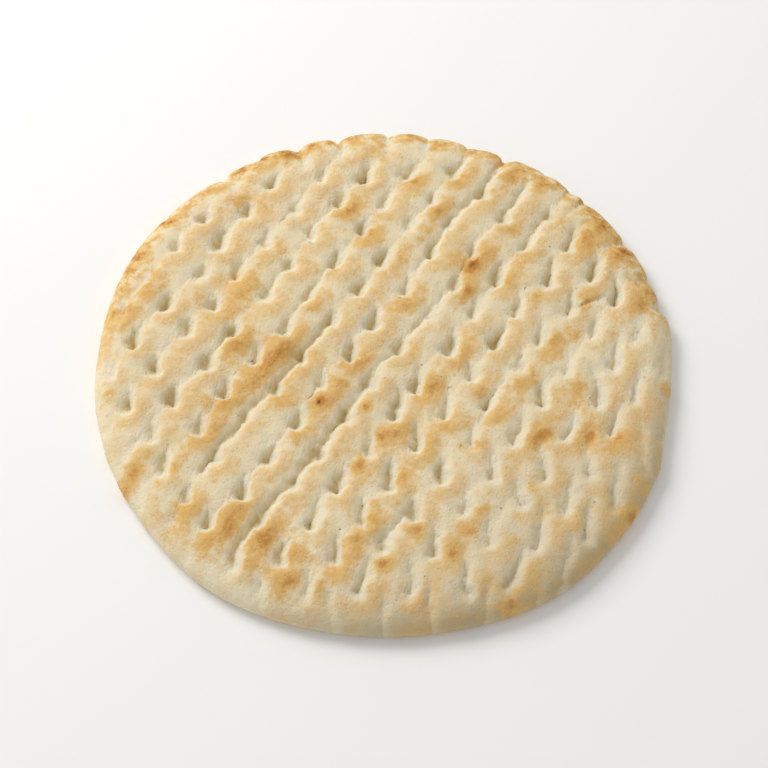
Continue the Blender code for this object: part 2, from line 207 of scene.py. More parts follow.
# Toasted spots on the lattice of slits: step along the row, row, radius in mm, strength
TOASTED_SPOTS = (
    (3.55, -0.2, 3.6, 2.0), (3.1, -0.6, 2.6, 1.0), (4.1, -0.4, 2.0, 0.6),
    (-1.4, 0.7, 2.6, 1.2), (-1.44, 0.7, 0.7, 2.0),
    (-0.8, 0.6, 3.5, 0.7), (-0.1, 0.6, 4.0, 0.6), (-0.6, -0.4, 1.8, 0.7), (-0.7, -1.2, 2.8, 1.0),
    (-1.5, -1.2, 3.4, 0.9), (-0.4, -1.5, 2.4, 0.6), (0.0, -1.8, 2.0, 0.7), (-0.9, -2.3, 2.6, 0.8),
    (0.0, -2.4, 3.4, 0.5), (0.6, -2.4, 2.8, 0.6), (1.0, -1.5, 4.4, 0.7), (1.8, -2.7, 2.0, 0.6),
    (2.6, -3.4, 2.8, 0.7), (3.1, -3.4, 3.2, 0.5), (1.7, -3.4, 3.0, 0.5), (0.9, -3.3, 3.0, 0.5),
    (2.4, -4.7, 2.8, 1.3), (2.1, -4.6, 2.6, 0.6), (3.2, -5.7, 2.6, 1.4), (3.7, -6.3, 2.4, 1.1),
    (3.7, -4.7, 2.0, 0.7), (3.5, -4.9, 3.0, 0.4), (1.5, -5.2, 2.6, 0.5), (1.3, -5.9, 1.8, 0.7),
    (3.5, -7.3, 1.8, 0.6), (2.9, -7.7, 2.4, 1.0), (2.5, -7.8, 2.4, 0.7), (-1.3, -3.5, 1.9, 0.8),
    (-1.0, -4.6, 2.0, 0.9), (-0.4, -4.6, 2.4, 0.6), (0.1, -4.5, 2.2, 0.6), (-2.4, -3.3, 2.0, 0.9),
    (-0.6, -6.5, 3.4, 0.8), (-2.6, -2.4, 4.0, 0.8), (-2.1, -2.3, 2.8, 0.6), (-3.4, -2.3, 3.0, 0.5),
    (-4.2, -0.5, 4.6, 1.0), (-4.7, 0.4, 4.6, 0.8), (-4.4, 0.6, 3.2, 0.5), (-5.3, 0.6, 3.2, 0.5),
    (-4.4, -1.6, 4.2, 0.6), (-4.2, -1.7, 1.8, 0.5), (-3.9, -1.3, 2.4, 0.5), (-5.3, 1.8, 4.2, 0.7),
    (-5.7, 1.7, 4.0, 0.4), (-5.8, 3.5, 3.2, 1.0), (-6.2, 3.4, 2.4, 0.8), (-5.0, 2.7, 2.4, 0.5),
    (-4.1, 4.2, 1.8, 0.6), (-5.4, 5.4, 3.4, 0.5), (-2.3, 0.6, 3.4, 0.5), (-2.2, 1.7, 3.6, 0.5),
    (-1.4, 2.3, 5.2, 1.0), (-2.0, 2.6, 4.2, 0.7), (-2.4, 2.4, 3.8, 0.5), (-3.3, 2.8, 4.2, 0.6),
    (-4.0, 2.6, 4.0, 0.7), (-0.1, 2.5, 3.6, 0.5), (0.8, 2.8, 1.8, 0.6), (-0.1, 4.3, 3.6, 0.4),
    (-0.9, 4.4, 3.2, 0.4), (-1.4, 4.4, 3.2, 0.5), (-1.25, 5.0, 2.8, 0.8), (-2.3, 5.0, 2.8, 0.6),
    (-2.0, 4.4, 2.6, 0.4), (-2.2, 3.5, 4.4, 0.8), (-3.9, 6.7, 5.4, 0.6), (-3.1, 6.7, 3.8, 0.5),
    (-2.9, 7.6, 3.0, 0.9), (-1.7, 7.6, 3.4, 0.6), (-0.1, 6.3, 3.2, 0.8), (0.3, 5.7, 2.2, 0.4),
    (0.6, 6.9, 3.2, 0.6), (1.7, 6.2, 3.4, 1.2), (2.0, 3.6, 3.6, 0.8), (2.0, 2.7, 3.4, 0.8),
    (2.2, 1.6, 3.2, 0.4), (3.2, 1.4, 2.0, 0.7), (3.8, 2.7, 2.8, 0.8), (3.8, 1.5, 2.8, 0.8),
    (3.5, 4.3, 2.8, 0.8), (4.7, 1.7, 2.8, 0.8), (4.8, 2.9, 2.4, 0.6), (5.9, 0.5, 5.0, 0.6),
    (6.3, -0.3, 2.2, 0.8), (6.0, -1.2, 2.4, 0.5), (6.3, -2.3, 4.4, 0.8), (6.8, -2.5, 4.0, 0.8),
    (6.7, -3.4, 4.0, 0.8), (6.3, -4.7, 2.6, 0.9), (6.7, -4.5, 2.6, 0.6), (5.3, -3.4, 3.2, 0.6),
    (4.3, -2.2, 2.3, 0.7), (4.0, -1.3, 2.0, 0.7), (4.7, -1.3, 3.0, 0.4), (4.9, -0.5, 2.4, 0.6),
    (1.7, 0.6, 3.6, 0.6), (1.3, -0.4, 2.4, 0.5), (2.0, -1.6, 3.2, 0.5), (4.0, -3.4, 2.9, 0.8),
    (4.5, -3.8, 1.8, 0.6), (4.9, -4.5, 2.6, 0.4), (5.4, -6.6, 2.8, 0.5), (1.05, -2.9, 1.2, 0.7),
)

SPOT_STRETCH = 1.15         # spots are this much longer along the row and narrower across it
HALO_SIZE = 1.8             # the golden dough round a spot, as a multiple of its radius

# Loose bits of dough: step along the row, row, heading in degrees, length in metres
DOUGH_FLAKES = (
    (0.74, 3.82, -32, 0.0050),
    (-1.06, 2.66, 24, 0.0030),
)
FLAKE_WIDTH = 0.20          # shares of its length
FLAKE_THICKNESS = 0.09
FLAKE_CURL = 0.16
FLOUR_DENSITY = 20000.0         # grains in a square metre
GRAIN_RADIUS = 0.00016

# A thin fold of the skin near the right rim, as places on the lattice
FOLD_PLACES = ((4.99, -3.28), (5.55, -3.68), (6.24, -3.98))
FOLD_DEPTH = 0.0014
FOLD_REACH = (0.0012, 0.0014)

# Noises of the dough's colours, as lumps in a metre
PATCH_SCALE = 75.0
DRY_SCALE = 110.0
BRAN_SCALE = 150.0
BLOTCH_SCALE = 230.0
MOTTLE_SCALE = 560.0
PORE_SCALE = 700.0
FINE_SCALE = 1100.0
POWDER_SCALE = 1500.0
STREAK_SCALES = (1000.0, 170.0)     # across and along the lean of the slits

# Directions in which the bake, the skin and the painted shade change over the disc
BACK_LEFT = (-0.5, 0.8)
FRONT_RIGHT = (0.57, -0.82)

# The bake says how brown the skin is: what each kind of browning adds, where each colour sets in
PILLOW_BAKE = 0.19
HALO_BAKE = 0.135
SPOT_BAKE = 0.32
RIM_BAKE = 0.48
FINE_BAKE = 0.07
GOLDEN_BAKE = (0.0, 0.30)
TOASTED_BAKE = (0.24, 0.70)
CHAR_BAKE = (0.62, 0.95)

# The turn of the skin, in radians from the flat top: rolled edge, waist and underside
ROLLED_TURN = (0.25, 0.9)
RIM_TURN = (0.30, 0.95)
WAIST_TURN = (1.6, 2.1)
UNDER_TURN = (2.6, 3.1)

# Bread lets a little light in
SPECULAR = 0.22
LIGHT_REACH = 0.0020
LIGHT_REACH_COLOUR = (1.0, 0.62, 0.32)
BUMP_HEIGHT = 0.00032

# The camera's place round the disc
CAMERA_ELEVATION = math.radians(59.64)
CAMERA_DISTANCE = 0.6317
CAMERA_TARGET = Vector((0.0001, -0.0085, 0.006))
CAMERA_LENS = 85.0

# The stage
FLOOR_HALF_WIDTH = 3.0
FLOOR_HEIGHT = 0.0001      # a hair above the flat underside, so that the two faces never coincide
KEY_AZIMUTH = math.radians(137)
KEY_ELEVATION = math.radians(41)
KEY_DISTANCE = 1.3
KEY_SIZE = 0.65
KEY_COLOUR = (1.0, 0.985, 0.955)


# ---------------------------------------------------------------- node trees


class Wire:
    """An output socket that can be used in sums: each operator adds a Math node."""

    def __init__(self, tree, socket):
        self.tree = tree
        self.socket = socket

    def __add__(self, other):
        return self.tree.math("ADD", self, other)

    def __radd__(self, other):
        return self.tree.math("ADD", other, self)

    def __sub__(self, other):
        return self.tree.math("SUBTRACT", self, other)

    def __rsub__(self, other):
        return self.tree.math("SUBTRACT", other, self)

    def __mul__(self, other):
        return self.tree.math("MULTIPLY", self, other)

    def __rmul__(self, other):
        return self.tree.math("MULTIPLY", other, self)

    def __truediv__(self, other):
        return self.tree.math("DIVIDE", self, other)

    def __pow__(self, other):
        return self.tree.math("POWER", self, other)


class Made:
    """A node whose outputs are read by name or number."""

    def __init__(self, tree, node):
        self.tree = tree
        self.node = node

    def __getitem__(self, key):
        return Wire(self.tree, self.node.outputs[key])


class Tree:
    """Adds nodes to a shader or geometry node tree."""

    def __init__(self, group):
        self.group = group
        self.nodes = group.nodes
        self.links = group.links

    def plug(self, socket, value):
        """Link a wire to a socket, or set the socket's own value."""
        if isinstance(value, Wire):
            self.links.new(value.socket, socket)
        else:
            socket.default_value = value

    def add(self, kind, settings=None, sockets=None):
        """One node: its settings first, then the values or links of its sockets."""
        node = self.nodes.new(kind)
        for name, value in (settings or {}).items():
            setattr(node, name, value)
        for key, value in (sockets or {}).items():
            self.plug(node.inputs[key], value)
        return Made(self, node)

    def math(self, operation, *values):
        """A Math node."""
        made = self.add("ShaderNodeMath", {"operation": operation}, dict(enumerate(values)))
        return made[0]

    def vector(self, operation, *values):
        """A Vector Math node that gives a vector."""
        made = self.add("ShaderNodeVectorMath", {"operation": operation}, dict(enumerate(values)))
        return made["Vector"]

    def measure(self, operation, *values):
        """A Vector Math node that gives a number."""
        made = self.add("ShaderNodeVectorMath", {"operation": operation}, dict(enumerate(values)))
        return made["Value"]

    def scaled(self, vector, factor):
        """A vector times a number."""
        sockets = {"Vector": vector, "Scale": factor}
        return self.add("ShaderNodeVectorMath", {"operation": "SCALE"}, sockets)["Vector"]

    def split(self, vector):
        """The three parts of a vector."""
        made = self.add("ShaderNodeSeparateXYZ", None, {0: vector})
        return made[0], made[1], made[2]

    def joined(self, x, y, z):
        """A vector from its three parts."""
        return self.add("ShaderNodeCombineXYZ", None, {0: x, 1: y, 2: z})[0]

    def smooth_step(self, low, high, value):
        """0 below low, 1 above high, smooth between."""
        settings = {"interpolation_type": "SMOOTHSTEP"}
        return self.add("ShaderNodeMapRange", settings, {0: value, 1: low, 2: high, 3: 0.0, 4: 1.0})[0]

    def clamped(self, value):
        """A number kept between 0 and 1."""
        return self.add("ShaderNodeClamp", None, {0: value, 1: 0.0, 2: 1.0})[0]

    def noise(self, place, scale, detail=2.0, roughness=0.5):
        """Noise about 0.5, with lumps of about 1/scale metres."""
        sockets = {"Vector": place, "Scale": scale, "Detail": detail, "Roughness": roughness}
        return self.add("ShaderNodeTexNoise", None, sockets)

    def mix_colour(self, factor, first, second):
        """First colour at factor 0, second at 1."""
        return self.add("ShaderNodeMix", {"data_type": "RGBA"}, {0: factor, 6: first, 7: second})[2]


def group_inputs(tree, inputs):
    """Named inputs of a geometry tree: name, socket type and default of each."""
    for name, socket_type, default in inputs:
        socket = tree.group.interface.new_socket(name, in_out="INPUT", socket_type=socket_type)
        if default is not None:
            socket.default_value = default
    made = tree.add("NodeGroupInput")
    return {name: made[name] for name, _, _ in inputs}


def group_output(tree, socket_type, value, name="Geometry"):
    """The one output of a geometry tree."""
    tree.group.interface.new_socket(name, in_out="OUTPUT", socket_type=socket_type)
    tree.add("NodeGroupOutput", None, {name: value})


def grown_mesh(name, group, values):
    """Run a geometry tree on an empty object and keep what it makes as a plain mesh."""
    holder = bpy.data.objects.new(name + "_holder", bpy.data.meshes.new(name + "_holder"))
    bpy.context.scene.collection.objects.link(holder)
    modifier = holder.modifiers.new(name, "NODES")
    modifier.node_group = group
    for item in group.interface.items_tree:
        if item.in_out == "INPUT" and item.name in values:
            modifier[item.identifier] = values[item.name]
    depsgraph = bpy.context.evaluated_depsgraph_get()
    mesh = bpy.data.meshes.new_from_object(holder.evaluated_get(depsgraph), depsgraph=depsgraph)
    bpy.data.objects.remove(holder)
    mesh.name = name
    piece = bpy.data.objects.new(name, mesh)
    bpy.context.scene.collection.objects.link(piece)
    return piece


# ---------------------------------------------------------------- docking marks and toasted spots


def firm_share(place):
    """1 at the firm side's edge, -1 at the opposite edge."""
    return (place.x * math.cos(FIRM_ANGLE) + place.y * math.sin(FIRM_ANGLE)) / CRUST_RADIUS


def lattice_place(step, row):
    """A place on the lattice of docking marks."""
    return DOCK_ORIGIN + step * ALONG_ROW + row * ROW_TO_ROW


def docking_marks(rng):
    """Every slit by its lattice indices: middle, half-length vector, depth, reach."""
    marks = {}
    for row in range(-LATTICE_REACH, LATTICE_REACH + 1):
        for step in range(-LATTICE_REACH, LATTICE_REACH + 1):
            middle = lattice_place(step, row)
            middle = middle + PLACE_SPREAD * Vector((rng.gauss(0, 1), rng.gauss(0, 1)))
            lean = MARK_LEAN - FRONT_LEAN * middle.y / CRUST_RADIUS + LEAN_SPREAD * rng.gauss(0, 1)
            firm = firm_share(middle)
            stretch = FIRM_STRETCH if firm > 0.0 else SOFT_SHRINK
            size = 1.0 + SIZE_SPREAD * rng.uniform(-1, 1) + stretch * firm
            half = MARK_HALF_LENGTH * size * Vector((math.cos(lean), math.sin(lean)))
            depth = MARK_DEPTH * (1.0 + SIZE_SPREAD * rng.gauss(0, 1))
            if middle.length < CRUST_RADIUS + MARK_HALF_LENGTH:
                narrowing = 1.0 - FIRM_NARROWING * firm
                reach = [side * narrowing for side in MARK_REACH]
                half = half * (1.0 - CREASE_HOLD * crease_strength(step, row))
                marks[step, row] = (middle, half, depth, reach)
    return marks


def crease_strength(step, row):
    """The strength of the crease that runs through a slit, or 0."""
    through = [strength for on_row, first, last, strength in CREASES
               if on_row == row and first <= step <= last]
    return min(1.0, max(through, default=0.0))


def slit_strokes(marks):
    """A stroke for each slit, deep at its lower end and shallow at its upper end."""
    strokes = []
    for middle, half, depth, reach in marks.values():
        if not is_back_rim(middle):
            strokes.append((middle - half, middle + half, depth, depth * UPPER_DEPTH, reach))
    return strokes


def is_back_rim(place):
    """Whether a place is on the notched part of the rim."""
    return place.length > BACK_RIM_START * CRUST_RADIUS and place.y > 0.3 * CRUST_RADIUS


def crease_strokes(marks):
    """A stroke for each stretch of crease, from the middle of a slit to the middle of the next."""
    strokes = []
    for row, first, last, strength in CREASES:
        depth = CREASE_DEPTH * strength
        for step in range(math.floor(first), math.ceil(last)):
            if (step, row) not in marks or (step + 1, row) not in marks:
                continue
            start = marks[step, row][0]
            end = marks[step + 1, row][0]
            tail = min(1.0, last - step)
            head = max(0.0, first - step)
            strokes.append((start.lerp(end, head), start.lerp(end, tail), depth, depth, CREASE_REACH))
    return strokes


def valley_strokes(marks):
    """A shallow stroke between neighbouring slits of a row that no crease joins."""
    rng = random.Random(SEED + 2)
    strokes = []
    for step, row in sorted(marks):
        firm = firm_share(marks[step, row][0])
        fade = min(1.0, max(0.0, (firm - VALLEY_FADE[0]) / (VALLEY_FADE[1] - VALLEY_FADE[0])))
        depth = CREASE_DEPTH * rng.uniform(*VALLEY_STRENGTH) * (1.0 - fade * fade * (3.0 - 2.0 * fade))
        joined = any(crease == row and first < step + 1 and last > step
                     for crease, first, last, _ in CREASES)
        if (step + 1, row) in marks and not joined:
            strokes.append((marks[step, row][0], marks[step + 1, row][0], depth, depth, VALLEY_REACH))
    return strokes


def fold_strokes():
    """The strokes of the thin fold."""
    places = [lattice_place(step, row) for step, row in FOLD_PLACES]
    return [(start, end, FOLD_DEPTH, FOLD_DEPTH, FOLD_REACH) for start, end in zip(places, places[1:])]


def notch_strokes():
    """A stroke for each notch of the back rim, from the top outwards."""
    strokes = []
    for angle, strength in RIM_NOTCHES:
        outward = Vector((math.cos(math.radians(angle)), math.sin(math.radians(angle))))
        inner, outer = [share * CRUST_RADIUS * outward for share in NOTCH_SPAN]
        depth = NOTCH_DEPTH * strength
        strokes.append((inner, outer, 0.5 * depth, 1.5 * depth, (NOTCH_REACH, NOTCH_REACH)))
    return strokes


def helper_object(name, places, edges, attributes):
    """A helper mesh of points or edges that a geometry tree reads."""
    mesh = bpy.data.meshes.new(name)
    mesh.from_pydata([(place.x, place.y, 0.0) for place in places], edges, [])
    for key, values in attributes.items():
        mesh.attributes.new(key, "FLOAT", "POINT").data.foreach_set("value", values)
    helper = bpy.data.objects.new(name, mesh)
    bpy.context.scene.collection.objects.link(helper)
    return helper


def stroke_helper(strokes):
    """Every docking stroke as one edge, with its depth at each end and its reach on each side."""
    places, depths, far, near = [], [], [], []
    for start, end, start_depth, end_depth, (far_reach, near_reach) in strokes:
        places += [start, end]
        depths += [start_depth, end_depth]
        far += [far_reach, far_reach]
        near += [near_reach, near_reach]
    edges = [(2 * index, 2 * index + 1) for index in range(len(strokes))]
    attributes = {"depth": depths, "far_reach": far, "near_reach": near}
    return helper_object("docking_strokes", places, edges, attributes)


def spot_helper():
    """Every toasted spot as one point, with its size and strength."""
    places = [lattice_place(step, row) for step, row, _, _ in TOASTED_SPOTS]
    sizes = [0.001 * size for _, _, size, _ in TOASTED_SPOTS]
    strengths = [strength for _, _, _, strength in TOASTED_SPOTS]
    return helper_object("toasted_spots", places, [], {"size": sizes, "strength": strengths})


# ---------------------------------------------------------------- the crust's geometry tree


def outline_group():
    """A node group: the radius of the widest outline at an angle."""
    tree = Tree(bpy.data.node_groups.new("crust_outline", "GeometryNodeTree"))
    wires = group_inputs(tree, [
        ("Angle", "NodeSocketFloat", 0.0),
        ("Radius", "NodeSocketFloat", CRUST_RADIUS),
    ])
    degrees = wires["Angle"] * math.degrees(1.0)
    radius = wires["Radius"]
    for centre, rise, half_width in OUTLINE_SHAPES:
        away = tree.math("WRAP", degrees - centre, 180.0, -180.0) / half_width
        radius = radius + rise * tree.math("EXPONENT", 0.0 - away * away)
    group_output(tree, "NodeSocketFloat", radius, "Outline")
    return tree.group


def outline_at(tree, group, angle, radius):
    """The outline's radius at an angle, through its node group."""
    sockets = {"Angle": angle, "Radius": radius}
    return tree.add("GeometryNodeGroup", {"node_tree": group}, sockets)["Outline"]


def read(tree, name, kind="FLOAT"):
    """A stored number or vector of each point."""
    return tree.add("GeometryNodeInputNamedAttribute", {"data_type": kind}, {"Name": name})["Attribute"]


def store(tree, geometry, name, value, kind="FLOAT"):
    """Store a number or vector on each point."""
    settings = {"data_type": kind, "domain": "POINT"}
    sockets = {"Geometry": geometry, "Name": name, "Value": value}
    return tree.add("GeometryNodeStoreNamedAttribute", settings, sockets)["Geometry"]


def sample(tree, source, value, index, kind="FLOAT"):
    """A value of one point of another geometry."""
    settings = {"data_type": kind, "domain": "POINT"}
    sockets = {"Geometry": source, "Value": value, "Index": index}
    return tree.add("GeometryNodeSampleIndex", settings, sockets)["Value"]


def place_of(tree):
    """The place of each point."""
    return tree.add("GeometryNodeInputPosition")["Position"]


def moved(tree, geometry, place):
    """The geometry with its points at new places."""
    return tree.add("GeometryNodeSetPosition", None, {"Geometry": geometry, "Position": place})["Geometry"]


def around(tree, radius, angle, height):
    """A place from its radius, angle and height."""
    return tree.joined(radius * tree.math("COSINE", angle), radius * tree.math("SINE", angle), height)


def angle_of(tree, place):
    """The angle of a place round the middle of the disc."""
    x, y, _ = tree.split(place)
    return tree.math("ARCTAN2", y, x)


def repeat_over(tree, geometry, count, body):
    """Run body on the geometry once for each of count items."""
    start = tree.nodes.new("GeometryNodeRepeatInput")
    end = tree.nodes.new("GeometryNodeRepeatOutput")
    start.pair_with_output(end)
    tree.plug(start.inputs["Iterations"], count)
    tree.plug(start.inputs["Geometry"], geometry)
    changed = body(Wire(tree, start.outputs["Geometry"]), Wire(tree, start.outputs["Iteration"]))
    tree.plug(end.inputs["Geometry"], changed)
    return Wire(tree, end.outputs["Geometry"])


def spread_grid(tree, wires, outline):
    """A square grid stretched to a flat disc whose radius is the travel over the top to the foot."""
    count = wires["Cells"] + 1
    sockets = {"Size X": 2.0, "Size Y": 2.0, "Vertices X": count, "Vertices Y": count}
    grid = tree.add("GeometryNodeMeshGrid", None, sockets)["Mesh"]
    u, v, _ = tree.split(place_of(tree))
    x = u * tree.math("SQRT", 1.0 - v * v * 0.5)
    y = v * tree.math("SQRT", 1.0 - u * u * 0.5)
    share = tree.math("MINIMUM", tree.math("SQRT", x * x + y * y), 1.0)
    angle = tree.math("ARCTAN2", y, x) + ROW_ANGLE
    stretch = outline_at(tree, outline, angle, wires["Radius"]) / wires["Radius"]
    return moved(tree, grid, around(tree, share * wires["Skin Length"] * stretch, angle, 0.0))


def wandered(tree, place):
    """The plan place of a point, wandering a little so that no slit is dead straight."""
    x, y, _ = tree.split(place)
    plan = tree.joined(x, y, 0.0)
    wobble = tree.vector("SUBTRACT", tree.noise(plan, WOBBLE_SCALE, 3.0, 0.75)["Color"], NOISE_MIDDLE)
    bend = tree.vector("SUBTRACT", tree.noise(plan, BEND_SCALE, 1.0)["Color"], NOISE_MIDDLE)
    wander = tree.vector("MULTIPLY", tree.vector("ADD", wobble, bend), (WANDER, WANDER, 0.0))
    return tree.vector("ADD", plan, wander)


def gather_points(tree, disc, strokes, wires):
    """Draw points beside a slit towards it, so that its bottom stays sharp."""
    place = place_of(tree)
    plan = wandered(tree, place)
    near = tree.add("GeometryNodeProximity", {"target_element": "EDGES"},
                    {0: strokes, 2: plan})
    away = near["Distance"] / GATHER_REACH
    inner = tree.measure("LENGTH", place) / wires["Skin Length"]
    pull = GATHER * tree.math("EXPONENT", 0.0 - away * away)
    pull = pull * (1.0 - tree.smooth_step(*GATHER_END, inner))
    step = tree.vector("SUBTRACT", near["Position"], plan)
    return moved(tree, disc, tree.vector("ADD", place, tree.scaled(step, pull)))


def bend_over(tree, disc, outline, wires):
    """Bend the flat disc into the plain loaf: top, rolled edge and undercut, down to the foot."""
    radius = wires["Radius"]
    roll_rise = wires["Shoulder Height"] - wires["Waist Height"]
    place = place_of(tree)
    angle = angle_of(tree, place)
    widest = outline_at(tree, outline, angle, radius)
    travel = tree.measure("LENGTH", place) * radius / widest
    roll = tree.clamped((travel - FLAT_LENGTH) / wires["Roll Length"]) * QUARTER_TURN
    under = tree.clamped((travel - FLAT_LENGTH - wires["Roll Length"]) / wires["Under Length"])
    under = under * QUARTER_TURN
    inset = tree.math("MAXIMUM", FLAT_LENGTH - travel, 0.0)
    inset = inset + wires["Roll Width"] * (1.0 - tree.math("SINE", roll))
    inset = inset + wires["Undercut"] * (1.0 - tree.math("COSINE", under))
    centre = tree.clamped(travel / FLAT_LENGTH)
    crown = (wires["Centre Height"] - wires["Shoulder Height"]) * (1.0 - centre * centre)
    height = crown + roll_rise * tree.math("COSINE", roll)
    height = height + wires["Waist Height"] * (1.0 - tree.math("SINE", under))
    disc = store(tree, disc, "turn", roll + under)
    plan_radius = widest * (1.0 - inset / radius)
    return moved(tree, disc, around(tree, plan_radius, angle, height))


def side_of(tree, aside):
    """1 on the far side of a stroke, 0 on its near side, smooth round its ends."""
    far = (math.cos(FAR_ANGLE), math.sin(FAR_ANGLE), 0.0)
    share = tree.measure("DOT_PRODUCT", aside, far) / (tree.measure("LENGTH", aside) + 1e-9)
    return tree.smooth_step(-SIDE_TURN, SIDE_TURN, share)


def between(first, second, share):
    """The first value at share 0, the second at 1."""
    return first + (second - first) * share


def slope_at(tree, away, reach, side):
    """A stroke's profile: broad slopes, with a steeper cut at the bottom of the far side."""
    broad = tree.clamped(1.0 - away / reach)
    core = tree.clamped(1.0 - away / (reach * CORE_REACH))
    cored = CORE_SHARE * side
    return (1.0 - cored) * broad * broad + cored * core * core * core


def press_strokes(tree, loaf, strokes, count):
    """Add up the depth of every docking stroke at each point, and mark its lit side and its lip."""
    depth = read(tree, "depth")
    far = read(tree, "far_reach")
    near = read(tree, "near_reach")
    place = place_of(tree)
    plan = read(tree, "plan", "FLOAT_VECTOR")

    def press_one(geometry, index):
        first = index * 2
        second = first + 1
        start = sample(tree, strokes, place, first, "FLOAT_VECTOR")
        run = tree.vector("SUBTRACT", sample(tree, strokes, place, second, "FLOAT_VECTOR"), start)
        gone = tree.vector("SUBTRACT", plan, start)
        along = tree.measure("DOT_PRODUCT", gone, run) / tree.measure("DOT_PRODUCT", run, run)
        along = tree.clamped(along)
        aside = tree.vector("SUBTRACT", gone, tree.scaled(run, along))
        side = side_of(tree, aside)
        away = tree.measure("LENGTH", aside)
        away = tree.math("SQRT", away * away + SLIT_ROUNDING ** 2) - SLIT_ROUNDING
        reach = between(sample(tree, strokes, near, first), sample(tree, strokes, far, first), side)
        full = between(sample(tree, strokes, depth, first), sample(tree, strokes, depth, second), along)
        near_side = (1.0 - side) * tree.clamped(full / MARK_DEPTH)
        lip = tree.smooth_step(*LIP_RISE, away) * (1.0 - tree.smooth_step(*LIP_FALL, away))
        lit = 1.0 - tree.smooth_step(*LIT_SPAN, away)
        pressed = (full * slope_at(tree, away, reach, side)) ** BLEND_POWER
        geometry = store(tree, geometry, "lip", tree.math("MAXIMUM", read(tree, "lip"), lip * near_side))
        geometry = store(tree, geometry, "lit", tree.math("MAXIMUM", read(tree, "lit"), lit * near_side))
        return store(tree, geometry, "press", read(tree, "press") + pressed)

    return repeat_over(tree, loaf, count, press_one)


def toast_spots(tree, loaf, spots, count):
    """Add up the browning of every toasted spot at each point."""
    size = read(tree, "size")
    strength = read(tree, "strength")
    place = place_of(tree)

    def toast_one(geometry, index):
        middle = sample(tree, spots, place, index, "FLOAT_VECTOR")
        x, y, _ = tree.split(tree.vector("SUBTRACT", place, middle))
        along = (x * math.cos(ROW_ANGLE) + y * math.sin(ROW_ANGLE)) / SPOT_STRETCH
        across = (y * math.cos(ROW_ANGLE) - x * math.sin(ROW_ANGLE)) * SPOT_STRETCH
        away = tree.math("SQRT", along * along + across * across) / sample(tree, spots, size, index)
        full = sample(tree, spots, strength, index)
        brown = full * tree.math("EXPONENT", 0.0 - away * away)
        warm = full * tree.math("EXPONENT", 0.0 - away * away / HALO_SIZE ** 2)
        geometry = store(tree, geometry, "warmth", read(tree, "warmth") + warm)
        return store(tree, geometry, "toast", read(tree, "toast") + brown)

    return repeat_over(tree, loaf, count, toast_one)


def press_strength(tree, place, outline, radius):
    """How much of a mark's full depth the dough takes at a place."""
    x, y, _ = tree.split(place)
    plan = tree.joined(x, y, 0.0)
    angle = angle_of(tree, place)
    share = tree.measure("LENGTH", plan) / outline_at(tree, outline, angle, radius)
    back = 0.5 + 0.5 * tree.math("COSINE", angle - BACK_ANGLE)
    keep = EDGE_KEEP_FRONT + (EDGE_KEEP_BACK - EDGE_KEEP_FRONT) * tree.smooth_step(0.5, 0.85, back)
    edge = 1.0 - (1.0 - keep) * tree.smooth_step(EDGE_FADE_START, 1.0, share)
    firm = (x * math.cos(FIRM_ANGLE) + y * math.sin(FIRM_ANGLE)) / radius
    return edge * (1.0 - FIRM_LOSS * tree.smooth_step(0.1, 0.9, firm))


def swell(tree, place):
    """Slow waves over the whole top."""
    rng = random.Random(SEED + 1)
    x, y, _ = tree.split(place)
    height = 0.0
    for _ in range(SWELL_WAVES):
        wave = 2.0 * math.pi / rng.uniform(*SWELL_LENGTH)
        heading = rng.uniform(0.0, math.pi)
        phase = rng.uniform(0.0, 2.0 * math.pi)
        along = x * (wave * math.cos(heading)) + y * (wave * math.sin(heading))
        height = height + tree.math("COSINE", along + phase)
    return height * (SWELL_HEIGHT / math.sqrt(SWELL_WAVES))


def drawn_out(tree, place, scales):
    """A place scaled so that noise on it is drawn out along the lean of the slits."""
    x, y, _ = tree.split(place)
    lean = 0.5 * math.pi - MARK_LEAN
    across = x * math.cos(lean) - y * math.sin(lean)
    along = x * math.sin(lean) + y * math.cos(lean)
    return tree.joined(across * scales[0], along * scales[1], 0.0)


def skin_lumps(tree, place, amount, depth):
    """Lumps and fine grain of the baked skin, and stretch marks that run down into the slits."""
    lumps = tree.noise(place, LUMP_SCALE, 2.0)[0] - 0.5
    grain = tree.noise(place, GRAIN_SCALE, 2.0, 0.6)[0] - 0.5
    marks = tree.noise(drawn_out(tree, place, STRETCH_SCALES), 1.0, 2.0, 0.55)[0] - 0.5
    where = tree.smooth_step(*STRETCH_START, depth)
    return amount * (lumps + 0.5 * grain + 1.4 * marks * where)


def shape_skin(tree, loaf, outline, wires):
    """Press the marks in along the skin's normal and give it its swell and lumps."""
    place = place_of(tree)
    _, _, height = tree.split(place)
    turn = read(tree, "turn")
    outward = tree.math("SINE", turn)
    upward = tree.math("COSINE", turn)
    fade = tree.smooth_step(FOOT_FADE, WAIST_HEIGHT, height)
    depth = read(tree, "press") ** (1.0 / BLEND_POWER)
    depth = depth * press_strength(tree, place, outline, wires["Radius"]) * fade
    depth = depth * (MEAN_DEPTH + UNEVEN_DEPTH * (tree.noise(place, UNEVEN_SCALE, 2.0, 0.6)[0] - 0.5))
    lift = skin_lumps(tree, place, wires["Lump Height"], depth) * fade - depth
    normal = around(tree, outward, angle_of(tree, place), upward)
    shift = tree.vector("ADD", tree.scaled(normal, lift),
                        tree.joined(0.0, 0.0, swell(tree, place) * fade * upward))
    loaf = store(tree, loaf, "pressed", depth / wires["Mark Depth"])
    return tree.add("GeometryNodeSetPosition", None, {"Geometry": loaf, "Offset": shift})["Geometry"]


def shaded(tree, geometry, smooth):
    """The geometry with smooth or flat shading."""
    sockets = {"Geometry": geometry, "Shade Smooth": smooth}
    return tree.add("GeometryNodeSetShadeSmooth", None, sockets)["Geometry"]


